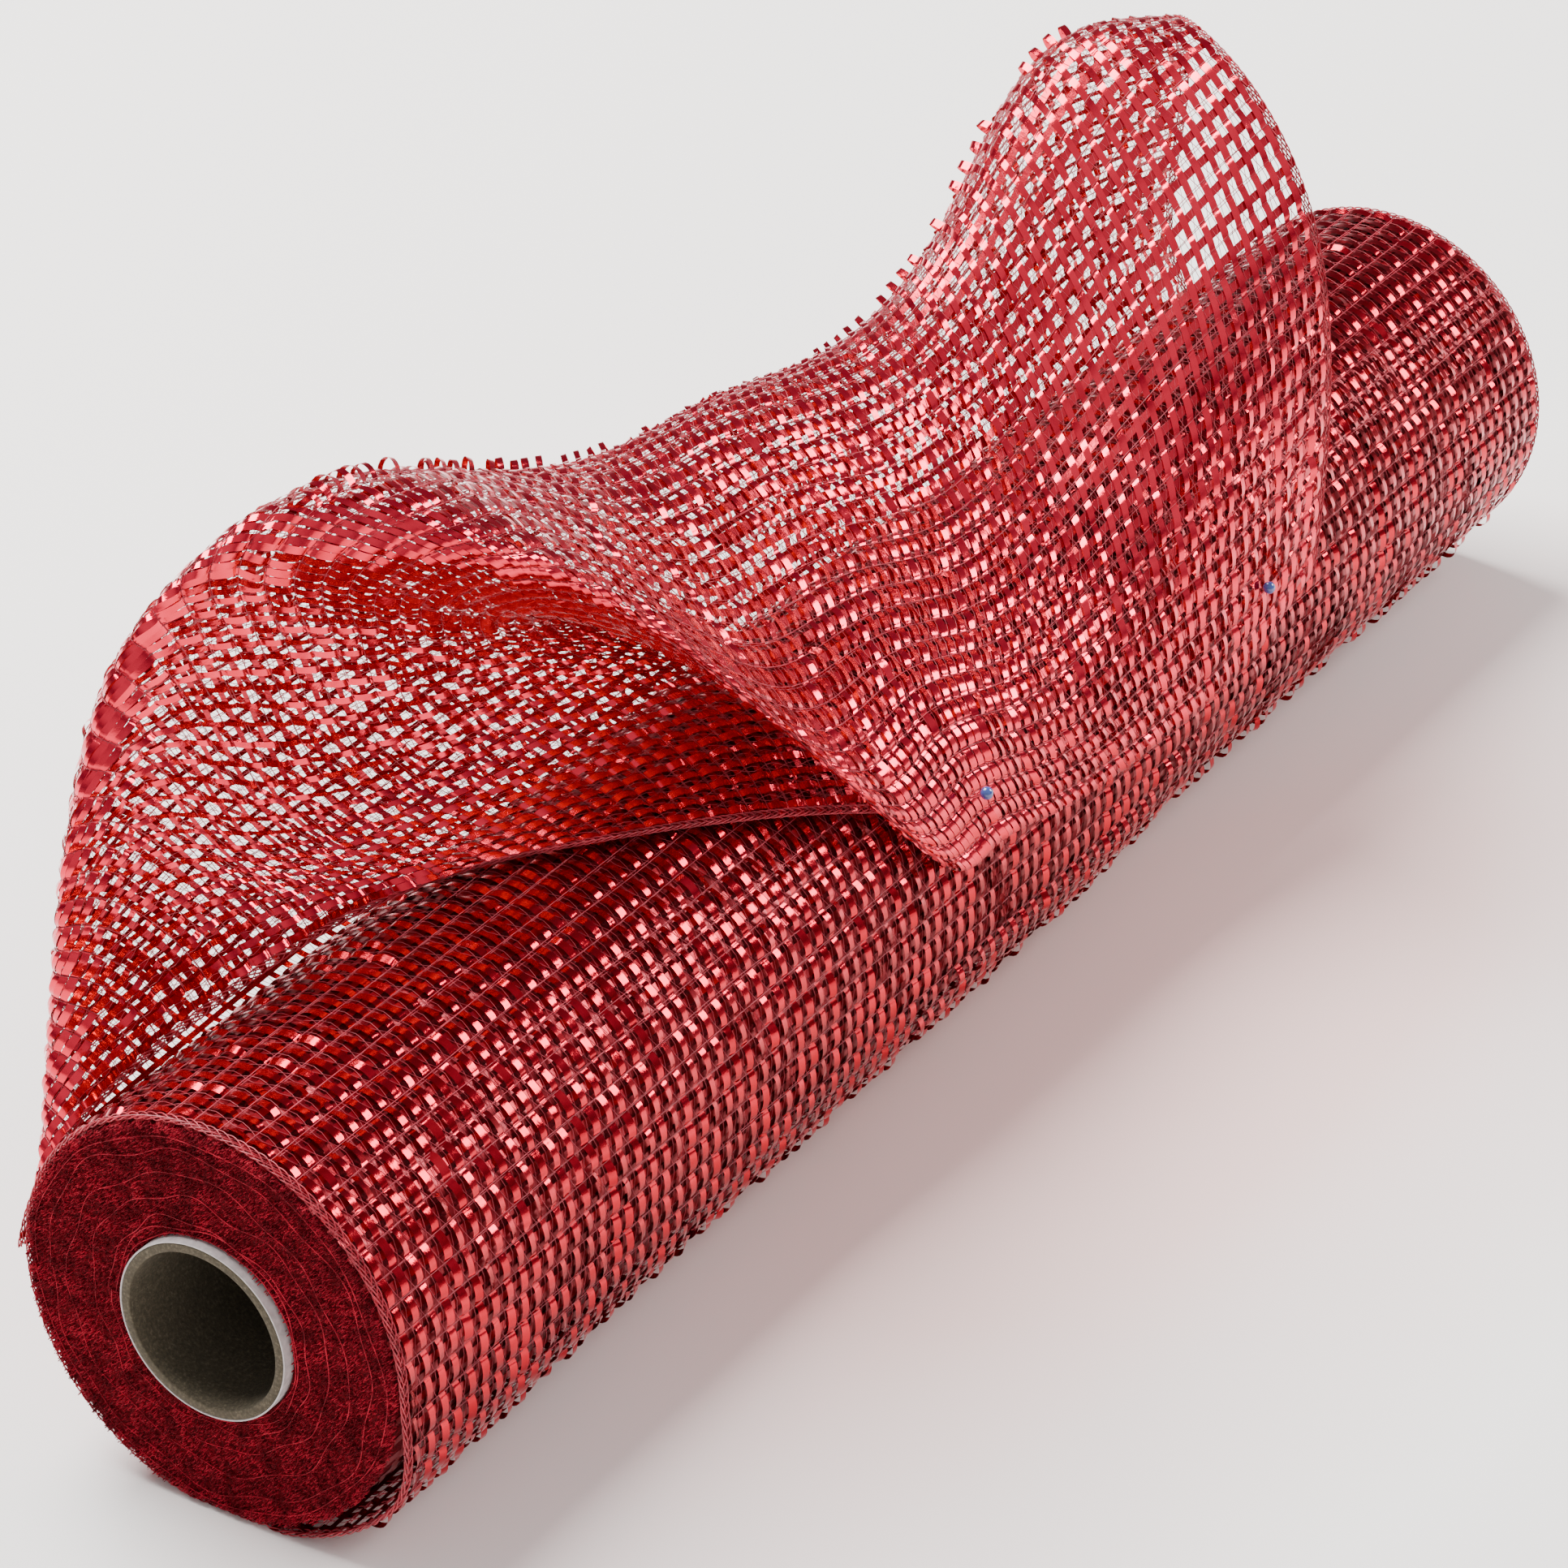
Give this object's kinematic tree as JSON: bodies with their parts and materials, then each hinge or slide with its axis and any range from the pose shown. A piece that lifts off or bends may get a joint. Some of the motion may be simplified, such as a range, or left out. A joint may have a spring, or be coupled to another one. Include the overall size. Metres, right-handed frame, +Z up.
{
  "type": "roll of decorative mesh fabric",
  "caption": "Cylindrical roll of open metallic mesh cloth on a paper core, its loose end gathered up into a peaked canopy over the roll and held by ball-headed pins.",
  "frame": {"origin": "middle of the core's axis, half way between the two ends of the roll", "axes": "+X along the core from the end under the low peak to the bare end, +Z up, the loose end is pinned down on the -Y side"},
  "size_m": [0.539, 0.1272, 0.1965],
  "materials": {
    "board": "grey-brown spiral-wound paperboard, matte",
    "core_paper": "smooth pale paper ply, matte",
    "tape": "clear-white adhesive tape",
    "mesh": "open weave of flat red metallised ribbon and fine filament, glossy",
    "selvedge": "dense corded edge of the same yarns",
    "pin_steel": "bright nickel-plated wire",
    "pin_head": "glossy opaque blue glass ball"
  },
  "bodies": {
    "roll": {"core_board": "board", "core_wrap": "core_paper", "start_tape": "tape", "wound_mesh": "mesh", "outer_turn": "mesh", "turn_selvedge_near": "selvedge", "turn_selvedge_far": "selvedge", "loose_sheet": "mesh", "loose_selvedge_near": "selvedge", "loose_selvedge_far": "selvedge"},
    "pin_1": {"pin_1_shaft": "pin_steel", "pin_1_head": "pin_head"},
    "pin_2": {"pin_2_shaft": "pin_steel", "pin_2_head": "pin_head"}
  },
  "joints": [
    {"name": "pin_1_pull", "type": "slide", "parent": "roll", "child": "pin_1", "axis": [0, -0.8557, 0.5175], "range_m": [0, 0.045]},
    {"name": "pin_2_pull", "type": "slide", "parent": "roll", "child": "pin_2", "axis": [0, -0.9137, 0.4065], "range_m": [0, 0.045]}
  ]
}
